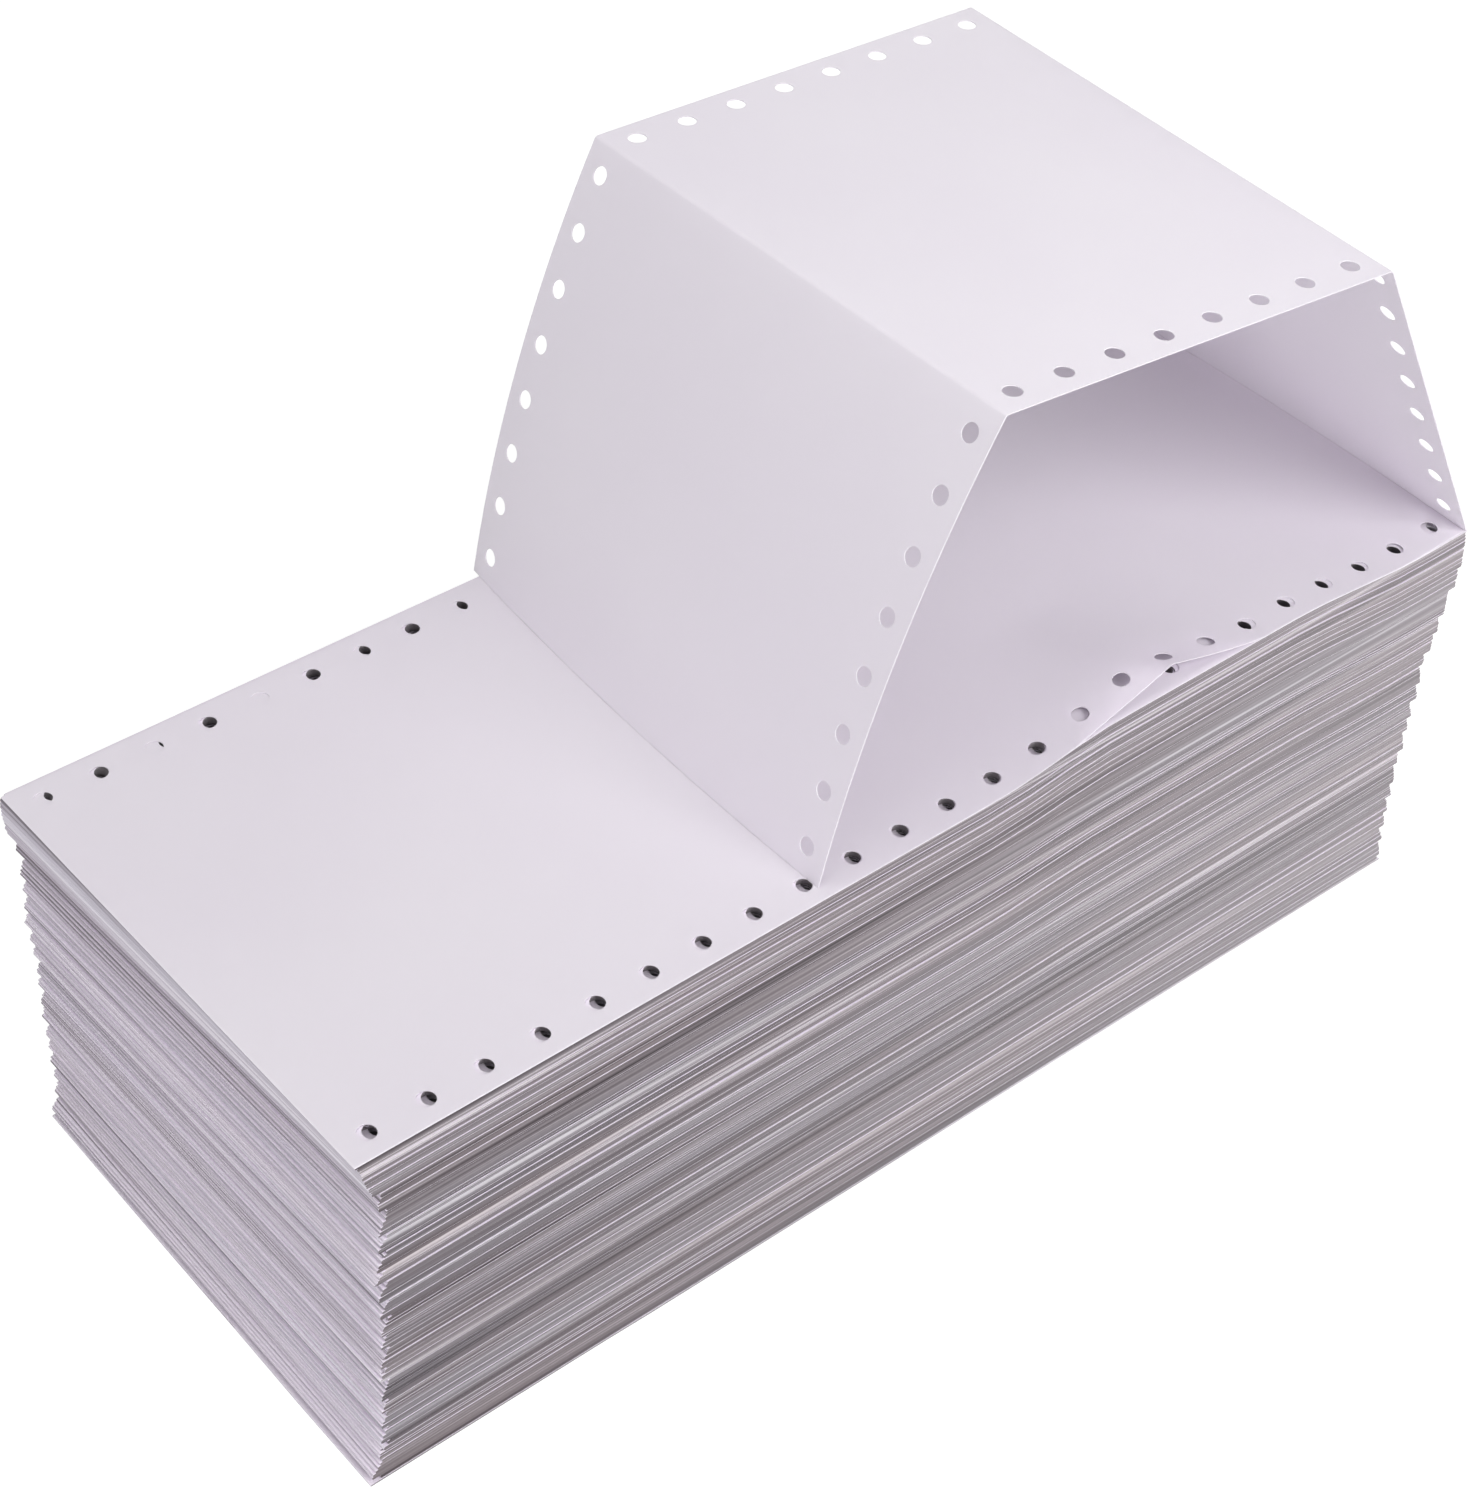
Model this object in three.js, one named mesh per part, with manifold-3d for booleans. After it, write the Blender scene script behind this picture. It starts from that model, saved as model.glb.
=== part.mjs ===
// A stack of fanfold paper with its top page raised into an arch. Millimetres, +Z up, base on the ground.
// +X runs along the page, from the loose end of the stack to the fold that the raised page comes from.
import * as THREE from "three";
import { mergeVertices } from "three/addons/utils/BufferGeometryUtils.js";
import Module from "manifold-3d";

const wasm = await Module();
wasm.setup();

// the page
const holePitch = 12.7;
const holesPerPanel = 8;
const panelsPerPage = 3;
const panelLength = holesPerPanel * holePitch;
const pageLength = panelsPerPage * panelLength;
const holeRowSpacing = 114.3;
const holeMargin = 5.6;
const pageWidth = holeRowSpacing + 2 * holeMargin;
const holeRadius = 2;
const sheetThickness = 0.4;

// the stack
const stackHeight = 96.4;
const bundleCount = 40;
const bundleNose = 0.7;
const bundleOverlap = 0.02;
const bundleStagger = 0.3;
const bundleScatter = 0.22;
const bundleUnevenness = 0.32;
const sideStagger = 0.22;
const sideScatter = 0.15;
const layFlatShift = 2.6;
const layFlatTurn = -0.012;
// how far each end of the stack sits in from the end of the top page, by height as a share of the stack
const looseEndInset = 4.6;
const looseEnd = [
  [0, 0.22], [0.12, 0.41], [0.3, 0.35], [0.55, 0.52],
  [0.74, 0.48], [0.84, 0.83], [0.925, 1], [1, 0.07],
];
const foldEndInset = 6.9;
const foldEnd = [
  [0, 0.96], [0.3, 1], [0.6, 0.94], [0.7, 0.81],
  [0.8, 0.49], [0.9, 0.19], [1, 0.06],
];

// the wells that the sprocket holes make
const wellTopDepth = 12;
const wellSides = 10;
const lowerWellDepth = 12;
const lowerWellSides = 8;
const lowerWellShift = 2.4;
const punchLength = 4;

// the buckle in the near edge of the top flat sheet, which rises from two places to a peak
const buckleStart = 24;
const bucklePeak = 54;
const buckleEnd = 80;
const buckleHeight = 3.4;
const bucklePullIn = 3.6;
const buckleReach = 26;
const buckleStripsAlong = 13;
const buckleStripsAcross = 3;

// the fold that the raised page comes from, which lifts the end of the flat page, most at its far side
const foldSetback = 1.9;
const foldLiftNear = 0.8;
const foldLiftGain = 5.6;
const foldLiftReach = 46;
const foldLiftStrips = 6;

// the raised page: how its panels lean at the near and far edge and drift sideways, in degrees
const panelLeans = { near: [120.6, 177.4, 246.7], far: [118, 180.7, 249.5] };
const panelDrifts = [-1.25, 3.15, 0.25];
const panelBows = [0, 0, 4];
const raisedPageAside = -0.65;
const freeEdgeBow = 2;
const stripsPerPanel = 4;
const stripsAcross = 6;

const paperWhite = 0xe9e6ec;

// a repeatable number from -1 to 1 for each pair of counts
function scatter(count, kind) {
  const wave = Math.sin(count * 12.9898 + kind * 78.233) * 43758.5453;
  return 2 * (wave - Math.floor(wave)) - 1;
}

function readCurve(curve, share) {
  const next = Math.max(1, curve.findIndex(([at]) => at >= share));
  const [fromShare, fromValue] = curve[next - 1];
  const [toShare, toValue] = curve[next];
  return THREE.MathUtils.mapLinear(share, fromShare, toShare, fromValue, toValue);
}

function toManifold(geometry) {
  const bare = geometry.clone();
  bare.deleteAttribute("uv");
  bare.deleteAttribute("normal");
  const merged = mergeVertices(bare, 1e-4);
  const mesh = new wasm.Mesh({
    numProp: 3,
    vertProperties: new Float32Array(merged.attributes.position.array),
    triVerts: new Uint32Array(merged.index.array),
  });
  return new wasm.Manifold(mesh);
}

function toGeometry(solid) {
  const mesh = solid.getMesh();
  const geometry = new THREE.BufferGeometry();
  geometry.setAttribute("position", new THREE.BufferAttribute(mesh.vertProperties, 3));
  geometry.setIndex(new THREE.BufferAttribute(mesh.triVerts, 1));
  const faceted = geometry.toNonIndexed();
  faceted.computeVertexNormals();
  return faceted;
}

// one bundle of sheets, with its folded ends brought to a blunt nose
function makeBundle(index, bottom, top) {
  const share = (bottom + top) / 2 / stackHeight;
  const side = index % 2 === 0 ? 1 : -1;
  const looseInset = looseEndInset * readCurve(looseEnd, share);
  const foldInset = foldEndInset * readCurve(foldEnd, share);
  const looseX = -pageLength / 2 + looseInset + side * bundleStagger + bundleScatter * scatter(index, 1);
  const foldX = pageLength / 2 - foldInset + side * bundleStagger + bundleScatter * scatter(index, 2);
  const nose = Math.min(bundleNose, (top - bottom) / 3);
  const outline = new THREE.Shape([
    new THREE.Vector2(looseX + nose, bottom - bundleOverlap),
    new THREE.Vector2(foldX - nose, bottom - bundleOverlap),
    new THREE.Vector2(foldX, bottom + nose),
    new THREE.Vector2(foldX, top - nose),
    new THREE.Vector2(foldX - nose, top),
    new THREE.Vector2(looseX + nose, top),
    new THREE.Vector2(looseX, top - nose),
    new THREE.Vector2(looseX, bottom + nose),
  ]);
  const geometry = new THREE.ExtrudeGeometry(outline, { depth: pageWidth, bevelEnabled: false });
  geometry.rotateX(Math.PI / 2);
  const aside = layFlatShift * (1 - share) - side * sideStagger + sideScatter * scatter(index, 3);
  geometry.translate(0, pageWidth / 2 + aside, 0);
  geometry.rotateZ(layFlatTurn * (1 - share));
  return toManifold(geometry);
}

function bundleLevels() {
  const levels = [0];
  const evenly = stackHeight / bundleCount;
  for (let index = 1; index < bundleCount; index += 1) {
    levels.push((index + bundleUnevenness * scatter(index, 4)) * evenly);
  }
  levels.push(stackHeight);
  return levels;
}

function makeStack() {
  const levels = bundleLevels();
  const bundles = [];
  for (let index = 0; index < bundleCount; index += 1) {
    const bottom = index === 0 ? bundleOverlap : levels[index];
    bundles.push(makeBundle(index, bottom, levels[index + 1]));
  }
  return wasm.Manifold.union(bundles);
}

// a closed sheet from a function that gives the middle surface for two shares from 0 to 1
function makeSheet(surface, lengthwise, across, thickness) {
  const middle = [];
  for (let i = 0; i <= lengthwise; i += 1) {
    for (let j = 0; j <= across; j += 1) {
      middle.push(surface(i / lengthwise, j / across));
    }
  }
  const at = (i, j) => i * (across + 1) + j;
  const positions = [];
  for (const offset of [thickness / 2, -thickness / 2]) {
    for (let i = 0; i <= lengthwise; i += 1) {
      for (let j = 0; j <= across; j += 1) {
        const along = middle[at(Math.min(i + 1, lengthwise), j)].clone();
        along.sub(middle[at(Math.max(i - 1, 0), j)]);
        const over = middle[at(i, Math.min(j + 1, across))].clone();
        over.sub(middle[at(i, Math.max(j - 1, 0))]);
        const normal = along.cross(over).normalize();
        const point = middle[at(i, j)].clone().addScaledVector(normal, offset);
        positions.push(point.x, point.y, point.z);
      }
    }
  }
  const under = (lengthwise + 1) * (across + 1);
  const triangles = [];
  const addQuad = (a, b, c, d) => triangles.push(a, b, c, a, c, d);
  for (let i = 0; i < lengthwise; i += 1) {
    for (let j = 0; j < across; j += 1) {
      const [a, b, c, d] = [at(i, j), at(i + 1, j), at(i + 1, j + 1), at(i, j + 1)];
      addQuad(a, b, c, d);
      addQuad(under + d, under + c, under + b, under + a);
    }
    const [nearA, nearB] = [at(i, 0), at(i + 1, 0)];
    const [farA, farB] = [at(i, across), at(i + 1, across)];
    addQuad(nearA, under + nearA, under + nearB, nearB);
    addQuad(farB, under + farB, under + farA, farA);
  }
  for (let j = 0; j < across; j += 1) {
    const [startA, startB] = [at(0, j), at(0, j + 1)];
    const [endA, endB] = [at(lengthwise, j), at(lengthwise, j + 1)];
    addQuad(startB, under + startB, under + startA, startA);
    addQuad(endA, under + endA, under + endB, endB);
  }
  const geometry = new THREE.BufferGeometry();
  geometry.setAttribute("position", new THREE.Float32BufferAttribute(positions, 3));
  geometry.setIndex(triangles);
  return geometry;
}

// how far the fold stands above the flat pages, by the share across the page
function foldLift(across) {
  return foldLiftNear + foldLiftGain * (1 - (1 - across) ** 2.2);
}

// the near or far corner of the raised page at the end of a panel, counted from the fold
function raisedCorner(side, panelCount) {
  const across = side === "near" ? 0 : 1;
  const corner = new THREE.Vector3();
  corner.x = pageLength / 2 - foldSetback;
  corner.y = pageWidth * (across - 0.5) + raisedPageAside;
  corner.z = stackHeight - sheetThickness / 2 + foldLift(across);
  for (let panel = 0; panel < panelCount; panel += 1) {
    const lean = THREE.MathUtils.degToRad(panelLeans[side][panel]);
    const drift = THREE.MathUtils.degToRad(panelDrifts[panel]);
    const chord = panelLength - ((8 / 3) * panelBows[panel] ** 2) / panelLength;
    corner.x += chord * Math.cos(drift) * Math.cos(lean);
    corner.y += chord * Math.sin(drift);
    corner.z += chord * Math.cos(drift) * Math.sin(lean);
  }
  return corner;
}

// a point of the raised page, by its panel and the shares along and across that panel
function raisedPoint(panel, along, across) {
  const near = raisedCorner("near", panel).lerp(raisedCorner("near", panel + 1), along);
  const far = raisedCorner("far", panel).lerp(raisedCorner("far", panel + 1), along);
  const chord = raisedCorner("near", panel + 1).sub(raisedCorner("near", panel)).normalize();
  const outward = new THREE.Vector3(0, 1, 0).cross(chord).normalize();
  const point = near.lerp(far, across).addScaledVector(outward, panelBows[panel] * 4 * along * (1 - along));
  if (panel === 0) {
    const straightLift = THREE.MathUtils.lerp(foldLift(0), foldLift(1), across);
    point.z += (foldLift(across) - straightLift) * (1 - along) ** 2;
  }
  if (panel === panelsPerPage - 1) {
    point.x -= freeEdgeBow * 4 * across * (1 - across) * along ** 2;
  }
  return point;
}

function raisedSurface(along, across) {
  const panel = Math.min(Math.floor(along * panelsPerPage + 1e-9), panelsPerPage - 1);
  return raisedPoint(panel, along * panelsPerPage - panel, across);
}

function makeRaisedPage() {
  return toManifold(makeSheet(raisedSurface, stripsPerPanel * panelsPerPage, stripsAcross, sheetThickness));
}

function makePunch(point, normal, radius, depth, sides) {
  const punch = new THREE.CylinderGeometry(radius, radius, depth, sides);
  const turn = new THREE.Quaternion().setFromUnitVectors(new THREE.Vector3(0, 1, 0), normal);
  punch.applyQuaternion(turn);
  punch.translate(point.x, point.y, point.z);
  return toManifold(punch);
}

function raisedPunches() {
  const punches = [];
  for (let panel = 0; panel < panelsPerPage; panel += 1) {
    for (let hole = 0; hole < holesPerPanel; hole += 1) {
      const along = (hole + 0.5) / holesPerPanel;
      for (const across of [holeMargin / pageWidth, 1 - holeMargin / pageWidth]) {
        const point = raisedPoint(panel, along, across);
        const step = raisedPoint(panel, along + 0.01, across).sub(raisedPoint(panel, along - 0.01, across));
        const over = raisedPoint(panel, along, 1).sub(raisedPoint(panel, along, 0));
        const normal = step.cross(over).normalize();
        punches.push(makePunch(point, normal, holeRadius, punchLength, wellSides));
      }
    }
  }
  return punches;
}

// the wells in the flat pages, from above, and the ones in the lowest pages, from below
function stackPunches() {
  const punches = [];
  const up = new THREE.Vector3(0, 0, 1);
  for (let hole = 0; hole < holesPerPanel * panelsPerPage; hole += 1) {
    const x = -pageLength / 2 + (hole + 0.5) * holePitch;
    for (const y of [-holeRowSpacing / 2, holeRowSpacing / 2]) {
      const upper = new THREE.Vector3(x, y, stackHeight);
      punches.push(makePunch(upper, up, holeRadius, 2 * wellTopDepth, wellSides));
      const lower = new THREE.Vector3(x - lowerWellShift, y + layFlatShift, 0);
      lower.applyAxisAngle(up, layFlatTurn);
      punches.push(makePunch(lower, up, holeRadius, 2 * lowerWellDepth, lowerWellSides));
    }
  }
  return punches;
}

// the part of the top flat sheet that lifts off the stack along its near edge
function buckleSurface(along, across) {
  const x = THREE.MathUtils.lerp(buckleStart, buckleEnd, along);
  const rise = (x - buckleStart) / (bucklePeak - buckleStart);
  const fall = (buckleEnd - x) / (buckleEnd - bucklePeak);
  const share = THREE.MathUtils.smoothstep(Math.min(rise, fall), 0, 1) * (1 - across) ** 2;
  const y = -pageWidth / 2 + buckleReach * across + bucklePullIn * share;
  return new THREE.Vector3(x, y, stackHeight - sheetThickness / 2 + bundleOverlap + buckleHeight * share);
}

function makeBuckle() {
  return toManifold(makeSheet(buckleSurface, buckleStripsAlong, buckleStripsAcross, sheetThickness));
}

// the end of the top flat sheet, which the fold lifts off the stack
function liftedEndSurface(along, across) {
  const x = pageLength / 2 - foldSetback - foldLiftReach * (1 - along);
  const y = pageWidth * (across - 0.5);
  const z = stackHeight - sheetThickness / 2 + bundleOverlap + foldLift(across) * along ** 2;
  return new THREE.Vector3(x, y, z);
}

function makeLiftedEnd() {
  return toManifold(makeSheet(liftedEndSurface, foldLiftStrips, foldLiftStrips, sheetThickness));
}

function buildPaper() {
  const flatPages = wasm.Manifold.union([makeStack(), makeBuckle(), makeLiftedEnd()]);
  const punchedFlat = flatPages.subtract(wasm.Manifold.union(stackPunches()));
  const punchedRaised = makeRaisedPage().subtract(wasm.Manifold.union(raisedPunches()));
  return wasm.Manifold.union([punchedFlat, punchedRaised]);
}

const paper = new THREE.Mesh(
  toGeometry(buildPaper()),
  new THREE.MeshStandardMaterial({ color: paperWhite, roughness: 0.85, metalness: 0 }),
);
paper.name = "fanfold_paper";

const part = new THREE.Group();
part.name = "fanfold_paper_stack";
part.add(paper);

export default part;
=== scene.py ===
import math
import random

import bpy
from mathutils import Matrix, Vector, noise


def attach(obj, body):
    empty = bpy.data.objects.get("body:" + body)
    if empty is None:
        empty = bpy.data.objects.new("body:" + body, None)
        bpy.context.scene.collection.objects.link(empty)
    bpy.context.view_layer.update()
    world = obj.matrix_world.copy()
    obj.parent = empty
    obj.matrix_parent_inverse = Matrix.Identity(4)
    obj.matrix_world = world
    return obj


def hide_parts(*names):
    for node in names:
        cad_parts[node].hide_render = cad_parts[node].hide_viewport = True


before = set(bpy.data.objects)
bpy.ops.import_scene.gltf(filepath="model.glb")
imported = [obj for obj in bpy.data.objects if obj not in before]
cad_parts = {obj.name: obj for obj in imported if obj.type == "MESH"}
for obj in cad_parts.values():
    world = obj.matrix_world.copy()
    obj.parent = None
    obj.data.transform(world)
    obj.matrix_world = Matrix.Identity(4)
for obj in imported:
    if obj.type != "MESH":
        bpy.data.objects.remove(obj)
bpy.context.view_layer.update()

mm = 0.001

# the page lies along x, its near edge towards -y, and its raised part comes from the fold at +x
page = {
    "holePitch": 12.7 * mm,
    "holesPerPanel": 8,
    "panels": 3,
    "holeRows": 114.3 * mm,
    "width": 125.5 * mm,
    "holeRadius": 2.0 * mm,
    "stackHeight": 96.4 * mm,
}
page["length"] = page["holePitch"] * page["holesPerPanel"] * page["panels"]


# small helpers for work by hand

def deselectAll():
    if bpy.context.mode != "OBJECT":
        bpy.ops.object.mode_set(mode="OBJECT")
    bpy.ops.object.select_all(action="DESELECT")


def activate(thing):
    deselectAll()
    thing.select_set(True)
    bpy.context.view_layer.objects.active = thing


def applyPlace(thing):
    activate(thing)
    bpy.ops.object.transform_apply(location=True, rotation=True, scale=True)


def applyModifiers(thing):
    activate(thing)
    for modifier in list(thing.modifiers):
        bpy.ops.object.modifier_apply(modifier=modifier.name)


def joinAll(things, name):
    activate(things[0])
    for thing in things:
        thing.select_set(True)
    bpy.ops.object.join()
    joined = bpy.context.view_layer.objects.active
    joined.name = name
    joined.data.name = name
    return joined


def copyOf(source):
    copied = source.copy()
    copied.data = source.data.copy()
    bpy.context.scene.collection.objects.link(copied)
    return copied


def selectEdges(thing, wanted):
    # leaves edit mode on with only the wanted edges selected
    activate(thing)
    bpy.ops.object.mode_set(mode="EDIT")
    bpy.ops.mesh.select_mode(type="EDGE")
    bpy.ops.mesh.select_all(action="DESELECT")
    bpy.ops.object.mode_set(mode="OBJECT")
    points = thing.data.vertices
    for edge in thing.data.edges:
        a, b = (points[i].co for i in edge.vertices)
        edge.select = wanted(a, b)
    bpy.ops.object.mode_set(mode="EDIT")


def bevelSelected(offset, segments):
    bpy.ops.mesh.bevel(offset=offset, segments=segments, affect="EDGES")
    bpy.ops.object.mode_set(mode="OBJECT")


def thicken(thing, thickness, offset):
    # an offset of 1 puts all of the thickness above the surface, and 0 half on each side
    shell = thing.modifiers.new("thicken", "SOLIDIFY")
    shell.thickness = thickness
    shell.offset = offset
    applyModifiers(thing)


def readCurve(curve, share):
    for (fromShare, fromValue), (toShare, toValue) in zip(curve, curve[1:]):
        if share <= toShare:
            part = (share - fromShare) / (toShare - fromShare)
            return fromValue + part * (toValue - fromValue)
    return curve[-1][1]


def withinOne(share):
    return min(max(share, 0.0), 1.0)


def smoothStep(share):
    share = withinOne(share)
    return share * share * (3 - 2 * share)


def shareAcross(y):
    # 0 at the near edge of the page and 1 at the far edge
    return withinOne(y / page["width"] + 0.5)


# camera

cameraValues = {
    "place": (-312.44 * mm, -346.76 * mm, 462.91 * mm),
    "turn": (49.8496, -1.0892, -39.9692),
    "lens": 66.52,
    "sensor": 36,
    "nearest": 0.01,
    "farthest": 50,
}


def makeCamera():
    bpy.ops.object.camera_add(location=cameraValues["place"])
    camera = bpy.context.object
    camera.name = "photoCamera"
    camera.rotation_euler = [math.radians(angle) for angle in cameraValues["turn"]]
    camera.data.lens = cameraValues["lens"]
    camera.data.sensor_width = cameraValues["sensor"]
    camera.data.clip_start = cameraValues["nearest"]
    camera.data.clip_end = cameraValues["farthest"]
    bpy.context.scene.camera = camera


makeCamera()
print("camera in place")


# helpers for materials, where a value is a plain number or colour, or another node's output

def plug(tree, value, socket):
    if isinstance(value, bpy.types.NodeSocket):
        tree.links.new(value, socket)
    else:
        socket.default_value = value


def addNode(tree, kind, **sockets):
    node = tree.nodes.new(kind)
    for name, value in sockets.items():
        plug(tree, value, node.inputs[name.replace("_", " ")])
    return node


def mathOf(tree, operation, *values):
    node = addNode(tree, "ShaderNodeMath")
    node.operation = operation
    for socket, value in zip(node.inputs, values):
        plug(tree, value, socket)
    return node.outputs["Value"]


def mixed(tree, share, first, second, blend="MIX"):
    mix = addNode(tree, "ShaderNodeMix")
    mix.data_type = "RGBA"
    mix.blend_type = blend
    # where a mix of colours has its share and its two colours among its sockets
    for place, value in ((0, share), (6, first), (7, second)):
        plug(tree, value, mix.inputs[place])
    return mix.outputs[2]


def spreadOut(tree, value, least, most, highest=1.0):
    # stretches what lies between least and most over 0 to highest
    spread = addNode(
        tree, "ShaderNodeMapRange", Value=value, From_Min=least, From_Max=most, To_Max=highest)
    return spread.outputs["Result"]


def bumped(tree, height, strength, distance, **under):
    bump = addNode(
        tree, "ShaderNodeBump", Height=height, Strength=strength, Distance=distance, **under)
    return bump.outputs["Normal"]


def newMaterial(name, finish):
    material = bpy.data.materials.new(name)
    material.use_nodes = True
    tree = material.node_tree
    shader = tree.nodes["Principled BSDF"]
    shader.inputs["Roughness"].default_value = finish["roughness"]
    shader.inputs["Specular IOR Level"].default_value = finish["shine"]
    return material, tree, shader


# the flat pages take a paler, more violet copy of the raised page's paper: the violet of light
# that bounces between the pages, painted in
raisedTone = {"light": (0.800, 0.758, 0.820, 1), "shade": (0.765, 0.720, 0.790, 1)}
bounceTintedTone = {"light": (0.825, 0.765, 0.852, 1), "shade": (0.790, 0.726, 0.820, 1)}
paperFinish = {
    "roughness": 0.82,
    "shine": 0.25,
    "glow": 0.75,
    "glowRadius": (1.0, 1.0, 1.0),
    "glowDepth": 0.6 * mm,
    "blotch": {"Scale": 9, "Detail": 2.0, "Roughness": 0.5},
    "blotchSpread": (0.35, 0.62),
    "cockle": {"Scale": 22, "Detail": 1.0, "Roughness": 0.4},
    "cockleStrength": 1.0,
    "cockleHeight": 0.10 * mm,
    "fibre": {"Scale": 1400, "Detail": 3.0, "Roughness": 0.6},
    "fibreStrength": 0.6,
    "fibreHeight": 0.010 * mm,
}


def cloudOf(tree, place, values):
    cloud = addNode(tree, "ShaderNodeTexNoise", Vector=place, **values)
    return cloud.outputs["Fac"]


def makePaper(name, tone):
    material, tree, shader = newMaterial(name, paperFinish)
    shader.inputs["Subsurface Weight"].default_value = paperFinish["glow"]
    shader.inputs["Subsurface Radius"].default_value = paperFinish["glowRadius"]
    shader.inputs["Subsurface Scale"].default_value = paperFinish["glowDepth"]
    place = addNode(tree, "ShaderNodeTexCoord").outputs["Object"]
    blotch = cloudOf(tree, place, paperFinish["blotch"])
    lightness = spreadOut(tree, blotch, *paperFinish["blotchSpread"])
    colour = mixed(tree, lightness, tone["shade"], tone["light"])
    tree.links.new(colour, shader.inputs["Base Color"])
    cockle = cloudOf(tree, place, paperFinish["cockle"])
    fibre = cloudOf(tree, place, paperFinish["fibre"])
    waves = bumped(tree, cockle, paperFinish["cockleStrength"], paperFinish["cockleHeight"])
    grain = bumped(
        tree, fibre, paperFinish["fibreStrength"], paperFinish["fibreHeight"], Normal=waves)
    tree.links.new(grain, shader.inputs["Normal"])
    return material


# the folded ends of the stack are paler than its cut long sides, with broader bands; the cut
# sides' dark colour is partly their own grey and partly painted shade
endFinish = {
    "stops": [
        (0.00, (0.230, 0.208, 0.232, 1)),
        (0.25, (0.440, 0.406, 0.452, 1)),
        (0.50, (0.625, 0.584, 0.645, 1)),
        (0.75, (0.745, 0.706, 0.772, 1)),
        (1.00, (0.940, 0.905, 0.960, 1)),
    ],
    "warm": (1.00, 0.970, 0.985, 1),
    "cool": (0.97, 0.975, 1.00, 1),
    "lineScale": (6, 3, 820),
    "lineShare": 0.44,
    "bandShare": 0.64,
    "spread": (0.43, 0.66),
    "speckShade": 1.0,
}
# painted shade: the cut sides' colours are darker than the paper's own edges, as a side turned
# from the lamps looks
sideFinish = {
    "stops": [
        (0.00, (0.031, 0.026, 0.030, 1)),
        (0.25, (0.104, 0.090, 0.099, 1)),
        (0.50, (0.179, 0.159, 0.173, 1)),
        (0.75, (0.252, 0.229, 0.246, 1)),
        (1.00, (0.600, 0.565, 0.600, 1)),
    ],
    "warm": (1.00, 0.952, 0.938, 1),
    "cool": (0.965, 0.985, 1.00, 1),
    "lineScale": (4, 10, 1150),
    "lineShare": 0.56,
    "bandShare": 0.50,
    "spread": (0.36, 0.68),
    "speckShade": 0.95,
    # painted light: the near side is paler towards the foot of the fold end, a painted highlight,
    # and the far side is as pale all over, where its painted shade is lifted
    "pale": (0.52, 0.485, 0.51, 1),
    "paleWay": (1.0, 2.4, -0.6),
    "paleFrom": -0.30,
    "paleTo": 0.0,
    "paleMost": 0.44,
}
edgeGrain = {
    "roughness": 0.9,
    "shine": 0.15,
    "lineDetail": 3.0,
    "bandScale": (3, 3, 250),
    "bandDetail": 2.0,
    "tintScale": (5, 6, 110),
    "tintDetail": 1.0,
    "tintSpread": (0.35, 0.65),
    "speckScale": (900, 900, 1500),
    "speckDetail": 1.0,
    "speckSpread": (0.35, 0.60),
    "noiseRoughness": 0.6,
    "lineStrength": 0.8,
    "lineHeight": 0.10 * mm,
}
# the walls of the holes in the stack get a flat dark colour, painted shade inside the holes
wallShadeFinish = {"colour": (0.250, 0.228, 0.244, 1), "roughness": 0.9, "shine": 0.5}


def stretchedNoise(tree, place, scale, detail):
    mapping = addNode(tree, "ShaderNodeMapping", Vector=place, Scale=scale)
    lines = addNode(
        tree, "ShaderNodeTexNoise", Vector=mapping.outputs["Vector"], Scale=1.0,
        Detail=detail, Roughness=edgeGrain["noiseRoughness"])
    return lines.outputs["Fac"]


# paints light on a surface: it grows paler along one direction in object space
def paintedLightOneWay(tree, place, surface, finish):
    reach = addNode(tree, "ShaderNodeVectorMath")
    reach.operation = "DOT_PRODUCT"
    plug(tree, place, reach.inputs[0])
    plug(tree, finish["paleWay"], reach.inputs[1])
    share = spreadOut(
        tree, reach.outputs["Value"], finish["paleFrom"], finish["paleTo"], finish["paleMost"])
    return mixed(tree, share, surface, finish["pale"])


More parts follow.
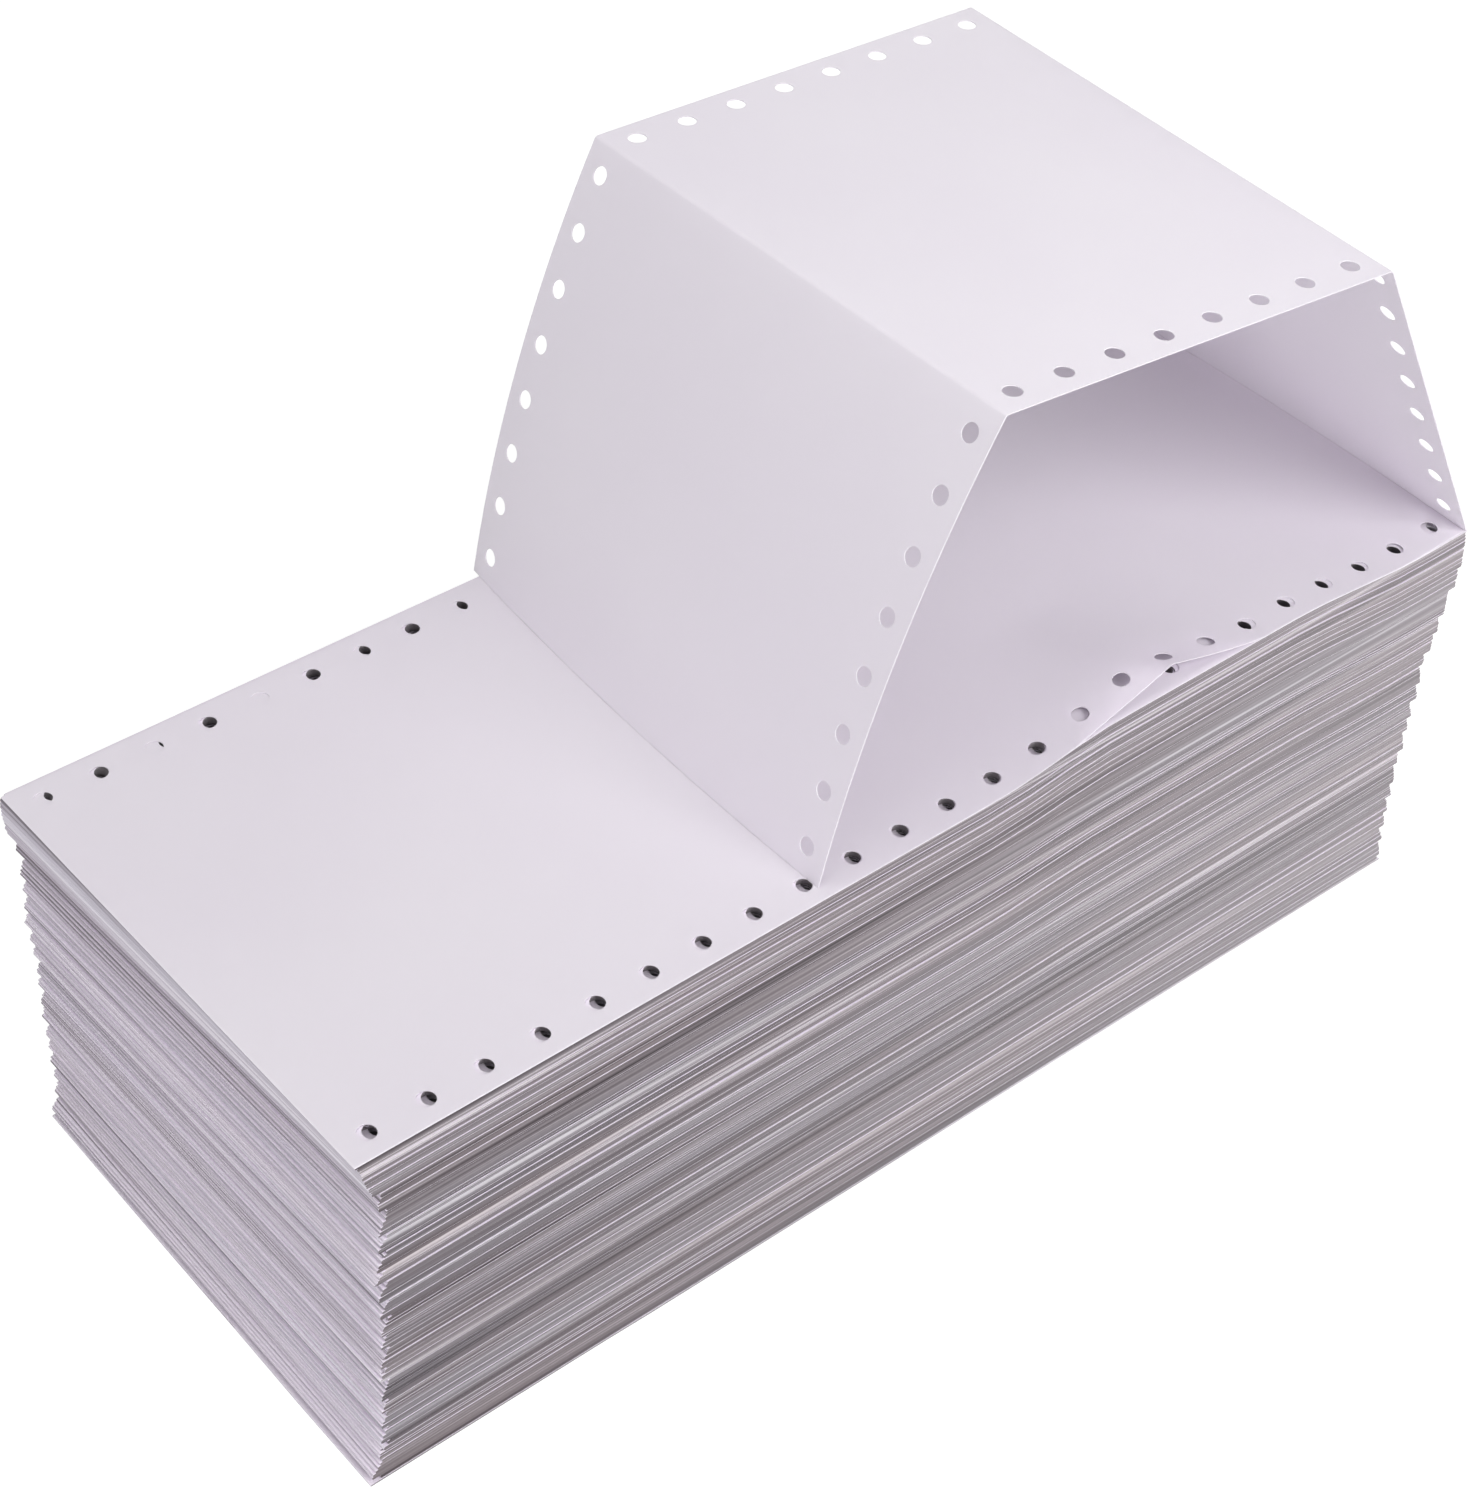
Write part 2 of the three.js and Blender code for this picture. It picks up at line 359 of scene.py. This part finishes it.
def makeEdges(name, finish):
    material, tree, shader = newMaterial(name, edgeGrain)
    place = addNode(tree, "ShaderNodeTexCoord").outputs["Object"]
    # fine lines and broad bands, whose dark end is partly the edges' own streaks and partly
    # painted shade in the gaps between sheets
    line = stretchedNoise(tree, place, finish["lineScale"], edgeGrain["lineDetail"])
    band = stretchedNoise(tree, place, edgeGrain["bandScale"], edgeGrain["bandDetail"])
    tint = stretchedNoise(tree, place, edgeGrain["tintScale"], edgeGrain["tintDetail"])
    speck = stretchedNoise(tree, place, edgeGrain["speckScale"], edgeGrain["speckDetail"])
    bandPart = mathOf(tree, "MULTIPLY", band, finish["bandShare"])
    both = mathOf(tree, "MULTIPLY_ADD", line, finish["lineShare"], bandPart)
    ramp = addNode(tree, "ShaderNodeValToRGB", Fac=spreadOut(tree, both, *finish["spread"]))
    while len(ramp.color_ramp.elements) < len(finish["stops"]):
        ramp.color_ramp.elements.new(0.5)
    for element, (at, colour) in zip(ramp.color_ramp.elements, finish["stops"]):
        element.position = at
        element.color = colour
    warmth = spreadOut(tree, tint, *edgeGrain["tintSpread"])
    hue = mixed(tree, warmth, finish["warm"], finish["cool"])
    grey = (finish["speckShade"],) * 3 + (1,)
    clearness = spreadOut(tree, speck, *edgeGrain["speckSpread"])
    specks = mixed(tree, clearness, grey, (1, 1, 1, 1))
    surface = mixed(tree, 1.0, ramp.outputs["Color"], hue, "MULTIPLY")
    surface = mixed(tree, 1.0, surface, specks, "MULTIPLY")
    # painted light on the cut sides, paler towards the foot of the fold end and on the far side
    if "pale" in finish:
        surface = paintedLightOneWay(tree, place, surface, finish)
    tree.links.new(surface, shader.inputs["Base Color"])
    grooves = bumped(tree, line, edgeGrain["lineStrength"], edgeGrain["lineHeight"])
    tree.links.new(grooves, shader.inputs["Normal"])
    return material


def makeShadedWalls(name):
    material, tree, shader = newMaterial(name, wallShadeFinish)
    shader.inputs["Base Color"].default_value = wallShadeFinish["colour"]
    return material


paperSheet = makePaper("paperSheet", raisedTone)
flatSheet = makePaper("flatSheet", bounceTintedTone)
foldedEnds = makeEdges("foldedEnds", endFinish)
cutSides = makeEdges("cutSides", sideFinish)
shadedHoleWalls = makeShadedWalls("shadedHoleWalls")
print("materials made")


# how the faces of the stack are told apart

dressValues = {
    "flatTilt": 0.75,
    "endTilt": 0.4,
    "wallFromEnd": 8 * mm,
    "wallPastRow": 3 * mm,
    "wallDepth": 12 * mm,
}


def isHoleWall(spot):
    values = dressValues
    return (
        abs(spot.x) < page["length"] / 2 - values["wallFromEnd"]
        and abs(spot.y) < page["holeRows"] / 2 + values["wallPastRow"]
        and spot.z > page["stackHeight"] - values["wallDepth"])


def dress(thing):
    # flat faces take the sheet's finish, hole walls a painted shade of their own, and folded ends
    # and cut sides their own
    finishes = (flatSheet, foldedEnds, cutSides, shadedHoleWalls)
    thing.data.materials.clear()
    for material in finishes:
        thing.data.materials.append(material)
    for face in thing.data.polygons:
        if abs(face.normal.z) > dressValues["flatTilt"]:
            finish = flatSheet
        elif isHoleWall(face.center):
            finish = shadedHoleWalls
        elif abs(face.normal.x) > dressValues["endTilt"]:
            finish = foldedEnds
        else:
            finish = cutSides
        face.material_index = finishes.index(finish)


# one bundle of pages, modelled once as a slab a millimetre thick, with or without its sprocket
# holes. How far a bundle's holes lie from those of the top page is in millimetres

bundleValues = {
    "cutsAlong": 26,
    "cutsAcross": 5,
    "thickness": 1.0 * mm,
    "nose": 0.34 * mm,
    "noseSegments": 2,
    "levelWithin": 0.1 * mm,
    "holeSides": 16,
    "punchDepth": 4 * page["stackHeight"],
    "slipAtLoose": (2.4, 0.8),
    "slipElsewhere": (0.3, 0.2),
    "holesAtLoose": 14,
    "seamSide": 0.95 * mm,
}
hairWidth = 0.01 * mm


def makeCutter(holes, sides, depth):
    cutters = []
    for place, turn in holes:
        deselectAll()
        bpy.ops.mesh.primitive_cylinder_add(
            vertices=sides, radius=page["holeRadius"], depth=depth, location=place)
        cutter = bpy.context.object
        cutter.rotation_mode = "QUATERNION"
        cutter.rotation_quaternion = turn
        cutters.append(cutter)
    cutter = joinAll(cutters, "cutter")
    applyPlace(cutter)
    return cutter


def punch(thing, holes, sides, depth):
    cutter = makeCutter(holes, sides, depth)
    cut = thing.modifiers.new("holes", "BOOLEAN")
    cut.operation = "DIFFERENCE"
    cut.solver = "EXACT"
    cut.object = cutter
    applyModifiers(thing)
    bpy.data.objects.remove(cutter)


def flatHoles(shiftOf):
    # shiftOf gives a hole's shift by its place along and its row, or None where there is no hole
    upright = Vector((0, 0, 1)).to_track_quat("Z", "Y")
    holes = []
    for index in range(page["holesPerPanel"] * page["panels"]):
        x = -page["length"] / 2 + (index + 0.5) * page["holePitch"]
        for row in (-1, 1):
            shift = shiftOf(index, row)
            if shift:
                spot = Vector((x, row * page["holeRows"] / 2, page["stackHeight"]))
                holes.append((spot + Vector((*shift, 0)) * mm, upright))
    return holes


def lined(index, row):
    return (0.0, 0.0)


def covering(index, row):
    # the holes of a bundle that has slipped along, so that it shows through the holes above it
    isSlipped = row < 0 and index < bundleValues["holesAtLoose"]
    return bundleValues["slipAtLoose" if isSlipped else "slipElsewhere"]


def broughtBack(index, row):
    # holes that come into line once the seam bundle is laid further from the near side
    return (0.0, -bundleValues["seamSide"] / mm)


def makeBundle(name, shiftOf):
    values = bundleValues
    deselectAll()
    bpy.ops.mesh.primitive_grid_add(
        x_subdivisions=values["cutsAlong"], y_subdivisions=values["cutsAcross"], size=1)
    bundle = bpy.context.object
    bundle.name = name
    bundle.scale = (page["length"], page["width"], 1)
    applyPlace(bundle)
    thicken(bundle, values["thickness"], 1)
    end = page["length"] / 2 - hairWidth

    def onEndRim(a, b):
        return min(abs(a.x), abs(b.x)) > end and abs(a.z - b.z) < values["levelWithin"]

    selectEdges(bundle, onEndRim)
    bevelSelected(values["nose"], values["noseSegments"])
    if shiftOf:
        punch(bundle, flatHoles(shiftOf), values["holeSides"], values["punchDepth"])
    return bundle


plainBundle = makeBundle("plainBundle", None)
punchedBundle = makeBundle("punchedBundle", lined)
slippedBundle = makeBundle("slippedBundle", covering)
seamBundle = makeBundle("seamBundle", broughtBack)
print("bundles made", len(plainBundle.data.polygons), len(punchedBundle.data.polygons))


# the stack below the two top sheets

stackValues = {
    # how far each end sits in from the end of the top page, in millimetres, by height as a share
    "looseEnd": [
        (0, -0.4), (0.06, 1.4), (0.15, 2.8), (0.3, 3.1), (0.45, 3.5), (0.62, 3.4),
        (0.74, 4.0), (0.81, 4.8), (0.88, 3.6), (0.925, 2.5), (0.985, 0.9), (1, 0.4)],
    "foldEnd": [
        (0, 7.0), (0.1, 7.8), (0.24, 8.4), (0.5, 7.0), (0.64, 6.0),
        (0.73, 3.4), (0.82, 1.5), (0.9, -0.2), (0.96, -0.4), (1, 0)],
    # how far the loose end's far corner sticks out past its near one, in the same way
    "skew": [(0, 2.2), (0.2, 3.4), (0.9, 3.4), (0.97, 1.6), (1, 0)],
    "skewStart": 90 * mm,
    "skewReach": 50 * mm,
    "asideAtBase": 1.5 * mm,
    "turnAtBase": -1.0,
    "topSheet": 0.2 * mm,
    "nextSheet": 0.2 * mm,
    "holedDepth": 7 * mm,
    "slippedDepth": 2.2 * mm,
    # a thin bundle under the two top sheets that sits further in, and shows as a dark line
    "seamDepth": 0.45 * mm,
    "seamEnd": 0.8 * mm,
    "topSideReach": 0.75 * mm,
    # runs of bundles, each reaching further out towards its lowest one, as folded books do
    "topRun": 8.8 * mm,
    "run": (3.4 * mm, 6.6 * mm),
    "bundle": (0.42 * mm, 1.15 * mm),
    "lowest": 0.9 * mm,
    "endReach": 2.4 * mm,
    "endReachSpread": (0.6, 1.2),
    "endCurve": 1.3,
    "foldReachShare": 0.6,
    "sideReach": 0.30 * mm,
    "sideReachSpread": (0.2, 1.3),
    # thin bundles that look like dark gaps, and how much further in they sit, in millimetres
    "gap": (0.16 * mm, 0.40 * mm),
    "firstGapAfter": 4,
    "gapEvery": (3, 4, 6, 8),
    "gapSunk": (0.35, 0.85),
    "gapSunkEndShare": 0.5,
    # chance shifts of a run across and along, and of each bundle, in millimetres and degrees
    "slip": 0.26,
    "slipEnd": 0.35,
    "endJitter": 0.10,
    "sideJitter": 0.07,
    "turnJitter": 0.02,
    "seed": 12,
}

# slow waves through the pages and fine ones in their edges, with heights in millimetres
waveValues = {
    "settle": {"scale": (9, 5, 34), "start": (0, 0, 3.1), "height": 0.55},
    "slow": {"scale": (4.5, 4, 12), "start": (7.7, 0, 0), "height": 0.9},
    "wobble": {"scale": (30, 800, 0), "start": (0, 0, 5.0), "height": 0.07},
    "reach": {"scale": (8, 260, 0), "start": (2.0, 0, 9.0), "height": 0.16},
    "ragged": {"scale": (16, 500, 1), "start": (0, 0, 1.0), "height": 0.35},
    "sideBand": 3 * mm,
    "endBand": 12 * mm,
}

# the pages under the arch are a little raised towards the near side
domeValues = {
    "height": 3.2 * mm,
    "rise": (2 * mm, 38 * mm),
    "fall": (92 * mm, 138 * mm),
    "farShare": 0.35,
    "fade": 1.5,
}


def domeLift(x, y):
    values = domeValues
    riseStart, riseEnd = values["rise"]
    fallStart, fallEnd = values["fall"]
    rise = smoothStep((x - riseStart) / (riseEnd - riseStart))
    fall = smoothStep((fallEnd - x) / (fallEnd - fallStart))
    return values["height"] * rise * fall * (1 - (1 - values["farShare"]) * shareAcross(y))


def jitter(chance, most):
    return chance.uniform(-most, most)


def stackLevels(chance):
    # from the top down: top, thickness, how far both ends sit in, how far the near side does,
    # and the slips across and along
    values = stackValues
    z = page["stackHeight"] - values["topSheet"] - values["nextSheet"]
    levels = [(z, values["seamDepth"], values["seamEnd"], bundleValues["seamSide"], 0.0, 0.0)]
    z -= values["seamDepth"]
    run = values["topRun"]
    untilGap = values["firstGapAfter"]
    slip, slipEnd, endReach, sideReach = 0.0, 0.0, 0.0, values["topSideReach"]
    while z > values["lowest"]:
        runTop = z
        while z > max(runTop - run, values["lowest"]):
            share = (runTop - z) / run
            untilGap -= 1
            isGap = untilGap <= 0
            thickness = chance.uniform(*values["gap" if isGap else "bundle"])
            if isGap:
                untilGap = chance.choice(values["gapEvery"])
            deeper = chance.uniform(*values["gapSunk"]) * mm if isGap else 0.0
            end = endReach * (1 - share) ** values["endCurve"] + values["gapSunkEndShare"] * deeper
            side = sideReach * (1 - share) + deeper
            levels.append((z, thickness, end, side, slip, slipEnd))
            z -= thickness
        untilGap = 1
        run = chance.uniform(*values["run"])
        slip = jitter(chance, values["slip"]) * mm
        slipEnd = jitter(chance, values["slipEnd"]) * mm
        endReach = values["endReach"] * chance.uniform(*values["endReachSpread"])
        sideReach = values["sideReach"] * chance.uniform(*values["sideReachSpread"])
    levels.append((z, z, 0.0, 0.0, 0.0, 0.0))
    return levels


def layBundle(source, top, thickness, startX, endX, aside, turn):
    bundle = copyOf(source)
    lengthwise = (endX - startX) / page["length"]
    bundle.scale = (lengthwise, 1, thickness / bundleValues["thickness"])
    spot = Matrix.Rotation(turn, 4, "Z") @ Vector(((startX + endX) / 2, aside, 0))
    bundle.location = (spot.x, spot.y, top - thickness)
    bundle.rotation_euler = (0, 0, turn)
    applyPlace(bundle)
    return bundle


def waveAt(name, *spot):
    wave = waveValues[name]
    place = [at * scale + start for at, scale, start in zip(spot, wave["scale"], wave["start"])]
    return wave["height"] * noise.noise(Vector(place))


def waveStack(stack):
    # the waves die out at the base and the top, and the sides and ends get ragged edges
    height = page["stackHeight"]
    for point in stack.data.vertices:
        x, y, z = point.co
        side = 1 if y > 0 else -1
        loose = 4 * z * (height - z) / height ** 2
        settled = loose * (waveAt("settle", x, y, z) + waveAt("slow", x, y, z)) * mm
        point.co.z += settled + domeLift(x, y) * (z / height) ** domeValues["fade"]
        if abs(y) > page["width"] / 2 - waveValues["sideBand"]:
            point.co.y += side * (waveAt("wobble", x, z, 0) + waveAt("reach", x, z, 0)) * mm
        if abs(x) > page["length"] / 2 - waveValues["endBand"]:
            point.co.x += waveAt("ragged", y, z, side) * mm
        towardsLoose = smoothStep((-x - stackValues["skewStart"]) / stackValues["skewReach"])
        skew = readCurve(stackValues["skew"], z / height)
        point.co.x -= towardsLoose * shareAcross(y) * skew * mm


def makeStack():
    values = stackValues
    chance = random.Random(values["seed"])
    height = page["stackHeight"]
    upper, lower = [], []
    slipped = False
    for top, thickness, end, side, slip, slipEnd in stackLevels(chance):
        share = max(0.0, (top - thickness / 2) / height)
        startX = -page["length"] / 2 + readCurve(values["looseEnd"], share) * mm
        endX = page["length"] / 2 - readCurve(values["foldEnd"], share) * mm
        startX += slipEnd + end + jitter(chance, values["endJitter"]) * mm
        endX += slipEnd - values["foldReachShare"] * end + jitter(chance, values["endJitter"]) * mm
        aside = values["asideAtBase"] * (1 - share) + slip + side
        aside += jitter(chance, values["sideJitter"]) * mm
        turn = values["turnAtBase"] * (1 - share) + jitter(chance, values["turnJitter"])
        isUpper = top > height - values["holedDepth"]
        isLowest = top - thickness < hairWidth
        source = punchedBundle if isUpper or isLowest else plainBundle
        if not upper:
            source = seamBundle
        if not slipped and top < height - values["slippedDepth"]:
            source = slippedBundle
            slipped = True
        bundle = layBundle(source, top, thickness, startX, endX, aside, math.radians(turn))
        (upper if isUpper else lower).append(bundle)
    print("bundles laid", len(upper), len(lower))
    upperPages = joinAll(upper, "upperPages")
    lowerPages = joinAll(lower, "lowerPages")
    for pages in (upperPages, lowerPages):
        waveStack(pages)
        dress(pages)
    return upperPages, lowerPages


upperPages, lowerPages = makeStack()
print("stack made")


# the top flat page and the page under it, each one sheet

flatValues = {
    "cutsAlong": 122,
    "cutsAcross": 40,
    "nextCutsAlong": 36,
    "nextCutsAcross": 12,
    "holeSides": 24,
    "punchDepth": 30 * mm,
    "smoothAngle": 30,
    # the buckle of the near edge, which leans back towards the loose end as it goes in
    "buckleStart": 24 * mm,
    "bucklePeak": 55 * mm,
    "buckleEnd": 82 * mm,
    "buckleHeight": 4.6 * mm,
    "bucklePullIn": 2.2 * mm,
    "buckleReach": 38 * mm,
    "buckleSlant": 7 * mm,
    "buckleSharpness": 1.25,
    "buckleFade": 1.2,
    # the fold that the raised page comes from stands up, and lifts the end of the flat page
    "foldSetback": 1.9 * mm,
    "foldLiftNear": 0.8 * mm,
    "foldLiftGain": 5.6 * mm,
    "foldLiftCurve": 2.2,
    "foldLiftReach": 47.9 * mm,
    # the next page lies a little out of line, by most at the loose end, and is lifted less
    "nextLiftShare": 0.35,
    "nextAlong": 0.15 * mm,
    "nextAside": 0.10 * mm,
    # its holes that the top page hides, and the shifts of those that it partly hides, by row
    # and place, in millimetres
    "hiddenHoles": [(-1, 14), (-1, 17), (1, 4)],
    "slippedHoles": {
        (-1, 15): 1.2, (-1, 16): 1.4, (-1, 18): -1.3, (-1, 19): -1.4, (-1, 20): -1.3,
        (-1, 21): -1.1, (-1, 22): -1.2, (-1, 23): 1.5,
        (1, 0): 2.3, (1, 2): 3.3, (1, 6): 1.6, (1, 8): 1.8},
    "usualShift": 0.1,
}


def finishSheet(sheet, material):
    sheet.data.materials.clear()
    sheet.data.materials.append(material)
    activate(sheet)
    bpy.ops.object.shade_smooth_by_angle(angle=math.radians(flatValues["smoothAngle"]))


def makeSheet(name, thickness, bottom, shiftOf, cutsAlong, cutsAcross, shape):
    deselectAll()
    bpy.ops.mesh.primitive_grid_add(x_subdivisions=cutsAlong, y_subdivisions=cutsAcross, size=1)
    sheet = bpy.context.object
    sheet.name = name
    sheet.scale = (page["length"], page["width"], 1)
    sheet.location = (0, 0, bottom + thickness / 2)
    applyPlace(sheet)
    thicken(sheet, thickness, 0)
    punch(sheet, flatHoles(shiftOf), flatValues["holeSides"], flatValues["punchDepth"])
    for point in sheet.data.vertices:
        shape(point.co)
    finishSheet(sheet, flatSheet)
    return sheet


def foldLift(across):
    values = flatValues
    gain = 1 - (1 - across) ** values["foldLiftCurve"]
    return values["foldLiftNear"] + values["foldLiftGain"] * gain


def liftEnd(spot, share):
    along = 1 - (page["length"] / 2 - spot.x) / flatValues["foldLiftReach"]
    if along > 0:
        spot.z += share * foldLift(shareAcross(spot.y)) * along ** 2
        spot.x -= share * flatValues["foldSetback"] * along ** 2


def buckle(spot):
    values = flatValues
    fromEdge = spot.y + page["width"] / 2
    peak = values["bucklePeak"] - min(fromEdge, values["buckleSlant"])
    rise = (spot.x - values["buckleStart"]) / (peak - values["buckleStart"])
    fall = (values["buckleEnd"] - spot.x) / (values["buckleEnd"] - peak)
    inward = fromEdge / values["buckleReach"]
    if min(rise, fall) > 0 and inward < 1:
        ridge = min(rise, fall) ** values["buckleSharpness"]
        share = ridge * (1 - inward) ** values["buckleFade"]
        spot.z += values["buckleHeight"] * share
        spot.y += values["bucklePullIn"] * share * (1 - inward)


def shapeTop(spot):
    dome = domeLift(spot.x, spot.y)
    buckle(spot)
    spot.z += dome
    liftEnd(spot, 1.0)


def shapeNext(spot):
    spot.x += flatValues["nextAlong"] * (0.5 - spot.x / page["length"])
    spot.y += flatValues["nextAside"]
    spot.z += domeLift(spot.x, spot.y)
    liftEnd(spot, flatValues["nextLiftShare"])


def nextShift(index, row):
    if (row, index) in flatValues["hiddenHoles"]:
        return None
    return (flatValues["slippedHoles"].get((row, index), flatValues["usualShift"]), 0.0)


def makeFlatPages():
    topSheet, nextSheet = stackValues["topSheet"], stackValues["nextSheet"]
    topBottom = page["stackHeight"] - topSheet
    flatPage = makeSheet(
        "flatPage", topSheet, topBottom, lined,
        flatValues["cutsAlong"], flatValues["cutsAcross"], shapeTop)
    nextPage = makeSheet(
        "nextPage", nextSheet, topBottom - nextSheet, nextShift,
        flatValues["nextCutsAlong"], flatValues["nextCutsAcross"], shapeNext)
    return flatPage, nextPage


flatPage, nextPage = makeFlatPages()
print("flat pages made")


# the raised page, a half hexagon that stands on its free edge

raisedValues = {
    # how each panel leans at its near and far edge, and how far it drifts sideways, in degrees
    "leans": {"near": (120.6, 177.4, 246.7), "far": (118.0, 180.7, 249.5)},
    "drifts": (-1.25, 3.15, 0.25),
    "bows": (0.0, 0.0, 4.0 * mm),
    "aside": -0.65 * mm,
    "freeEdgeBow": 2.0 * mm,
    "thickness": 0.22 * mm,
    "rowsPerPanel": 20,
    "rowsAcross": 16,
    "creaseRound": 0.5 * mm,
    "creaseSegments": 3,
    "creaseWithin": 0.05 * mm,
    "holeSides": 24,
    "punchDepth": 6 * mm,
}


def raisedCorner(side, panelCount):
    # the near or far corner of the raised page at the end of a panel, counted from the fold
    values = raisedValues
    across = 0 if side == "near" else 1
    panelLength = page["holePitch"] * page["holesPerPanel"]
    corner = Vector((
        page["length"] / 2 - flatValues["foldSetback"],
        page["width"] * (across - 0.5) + values["aside"],
        page["stackHeight"] - stackValues["topSheet"] / 2 + foldLift(across)))
    panels = list(zip(values["leans"][side], values["drifts"], values["bows"]))
    for lean, drift, bow in panels[:panelCount]:
        # a bowed panel's ends are closer together than its length, by a parabola's rule
        chord = panelLength - 8 / 3 * bow ** 2 / panelLength
        level = chord * math.cos(math.radians(drift))
        corner.x += level * math.cos(math.radians(lean))
        corner.y += chord * math.sin(math.radians(drift))
        corner.z += level * math.sin(math.radians(lean))
    return corner


nearCorners = [raisedCorner("near", count) for count in range(page["panels"] + 1)]
farCorners = [raisedCorner("far", count) for count in range(page["panels"] + 1)]


def raisedPoint(panel, along, across):
    near = nearCorners[panel].lerp(nearCorners[panel + 1], along)
    far = farCorners[panel].lerp(farCorners[panel + 1], along)
    chord = (nearCorners[panel + 1] - nearCorners[panel]).normalized()
    outward = Vector((0, 1, 0)).cross(chord).normalized()
    bowed = outward * raisedValues["bows"][panel] * 4 * along * (1 - along)
    point = near.lerp(far, across) + bowed
    if panel == 0:
        straight = foldLift(0) + across * (foldLift(1) - foldLift(0))
        point.z += (foldLift(across) - straight) * (1 - along) ** 2
    if panel == page["panels"] - 1:
        point.x -= raisedValues["freeEdgeBow"] * 4 * across * (1 - across) * along ** 2
    return point


def raisedHoles():
    margin = (page["width"] - page["holeRows"]) / 2 / page["width"]
    nearby = 0.01
    holes = []
    for panel in range(page["panels"]):
        for index in range(page["holesPerPanel"]):
            along = (index + 0.5) / page["holesPerPanel"]
            over = raisedPoint(panel, along, 1) - raisedPoint(panel, along, 0)
            for across in (margin, 1 - margin):
                before = raisedPoint(panel, along - nearby, across)
                step = raisedPoint(panel, along + nearby, across) - before
                turn = step.cross(over).to_track_quat("Z", "Y")
                holes.append((raisedPoint(panel, along, across), turn))
    return holes


def onCrease(a, b):
    for near, far in zip(nearCorners[1:-1], farCorners[1:-1]):
        way = (far - near).normalized()
        strays = [(spot - near - way * (spot - near).dot(way)).length for spot in (a, b)]
        if max(strays) < raisedValues["creaseWithin"]:
            return True
    return False


def makeRaisedPage():
    values = raisedValues
    deselectAll()
    bpy.ops.mesh.primitive_grid_add(
        x_subdivisions=page["panels"] * values["rowsPerPanel"],
        y_subdivisions=values["rowsAcross"], size=1)
    sheet = bpy.context.object
    sheet.name = "raisedPage"
    for point in sheet.data.vertices:
        # a whole number of panels counts to the next one, in spite of rounding
        along = (point.co.x + 0.5) * page["panels"]
        panel = min(int(along + 1e-6), page["panels"] - 1)
        point.co = raisedPoint(panel, along - panel, point.co.y + 0.5)
    selectEdges(sheet, onCrease)
    bevelSelected(values["creaseRound"], values["creaseSegments"])
    thicken(sheet, values["thickness"], 0)
    punch(sheet, raisedHoles(), values["holeSides"], values["punchDepth"])
    finishSheet(sheet, paperSheet)
    return sheet


raisedPage = makeRaisedPage()
print("raised page made")

for source in (plainBundle, punchedBundle, slippedBundle, seamBundle):
    bpy.data.objects.remove(source)

for piece in (raisedPage, flatPage, nextPage, upperPages, lowerPages):
    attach(piece, "root")
    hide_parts("fanfold_paper")


# floor, lights and world

stageValues = {
    "floorSize": 8,
    "floorSeen": (0.36, 0.36, 0.36, 1),
    "floorFelt": (0.80, 0.80, 0.80, 1),
    "floorGlow": 0.84,
    "roughness": 0.9,
    "shine": 0.0,
    "skyStrength": 0.30,
    "lampAim": (0, 0, 0.1),
}
white = (1, 1, 1, 1)

lampValues = {
    "keyLamp": {"place": (-0.55, 0.12, 1.75), "size": 1.1, "power": 6.8},
    "fillLamp": {"place": (0.10, -1.0, 0.75), "size": 0.9, "power": 11.4},
    "leftLamp": {"place": (-0.95, -0.65, 0.55), "size": 0.8, "power": 2.7},
    "backLamp": {"place": (-0.45, 1.15, 0.55), "size": 1.0, "power": 1.6},
}


def makeFloor():
    # the camera sees it as white, apart from the object's shadow, and the object as pale grey
    deselectAll()
    bpy.ops.mesh.primitive_plane_add(size=stageValues["floorSize"])
    floor = bpy.context.object
    floor.name = "floor"
    material, tree, shader = newMaterial("floorPaint", stageValues)
    seen = addNode(tree, "ShaderNodeLightPath").outputs["Is Camera Ray"]
    colour = mixed(tree, seen, stageValues["floorFelt"], stageValues["floorSeen"])
    glow = mathOf(tree, "MULTIPLY", seen, stageValues["floorGlow"])
    tree.links.new(colour, shader.inputs["Base Color"])
    tree.links.new(glow, shader.inputs["Emission Strength"])
    shader.inputs["Emission Color"].default_value = white
    floor.data.materials.append(material)


def makeWorld():
    # the camera, gloss and glass see white, and all else gets a faint even light
    world = bpy.data.worlds.new("softRoom")
    bpy.context.scene.world = world
    world.use_nodes = True
    tree = world.node_tree
    tree.nodes.clear()
    room = addNode(
        tree, "ShaderNodeBackground", Color=white, Strength=stageValues["skyStrength"])
    seen = addNode(tree, "ShaderNodeBackground", Color=white, Strength=1.0)
    ray = addNode(tree, "ShaderNodeLightPath").outputs
    shiny = mathOf(tree, "MAXIMUM", ray["Is Glossy Ray"], ray["Is Transmission Ray"])
    either = mathOf(tree, "MAXIMUM", ray["Is Camera Ray"], shiny)
    pick = addNode(tree, "ShaderNodeMixShader", Fac=either)
    tree.links.new(room.outputs["Background"], pick.inputs[1])
    tree.links.new(seen.outputs["Background"], pick.inputs[2])
    addNode(tree, "ShaderNodeOutputWorld", Surface=pick.outputs["Shader"])


def makeLamp(name, values):
    deselectAll()
    bpy.ops.object.light_add(type="AREA", location=values["place"])
    lamp = bpy.context.object
    lamp.name = name
    lamp.data.shape = "DISK"
    lamp.data.size = values["size"]
    lamp.data.energy = values["power"]
    aim = Vector(stageValues["lampAim"]) - Vector(values["place"])
    lamp.rotation_euler = aim.to_track_quat("-Z", "Y").to_euler()


makeFloor()
makeWorld()
for lampName, values in lampValues.items():
    makeLamp(lampName, values)
bpy.context.scene.view_settings.view_transform = "Standard"
print("stage made")
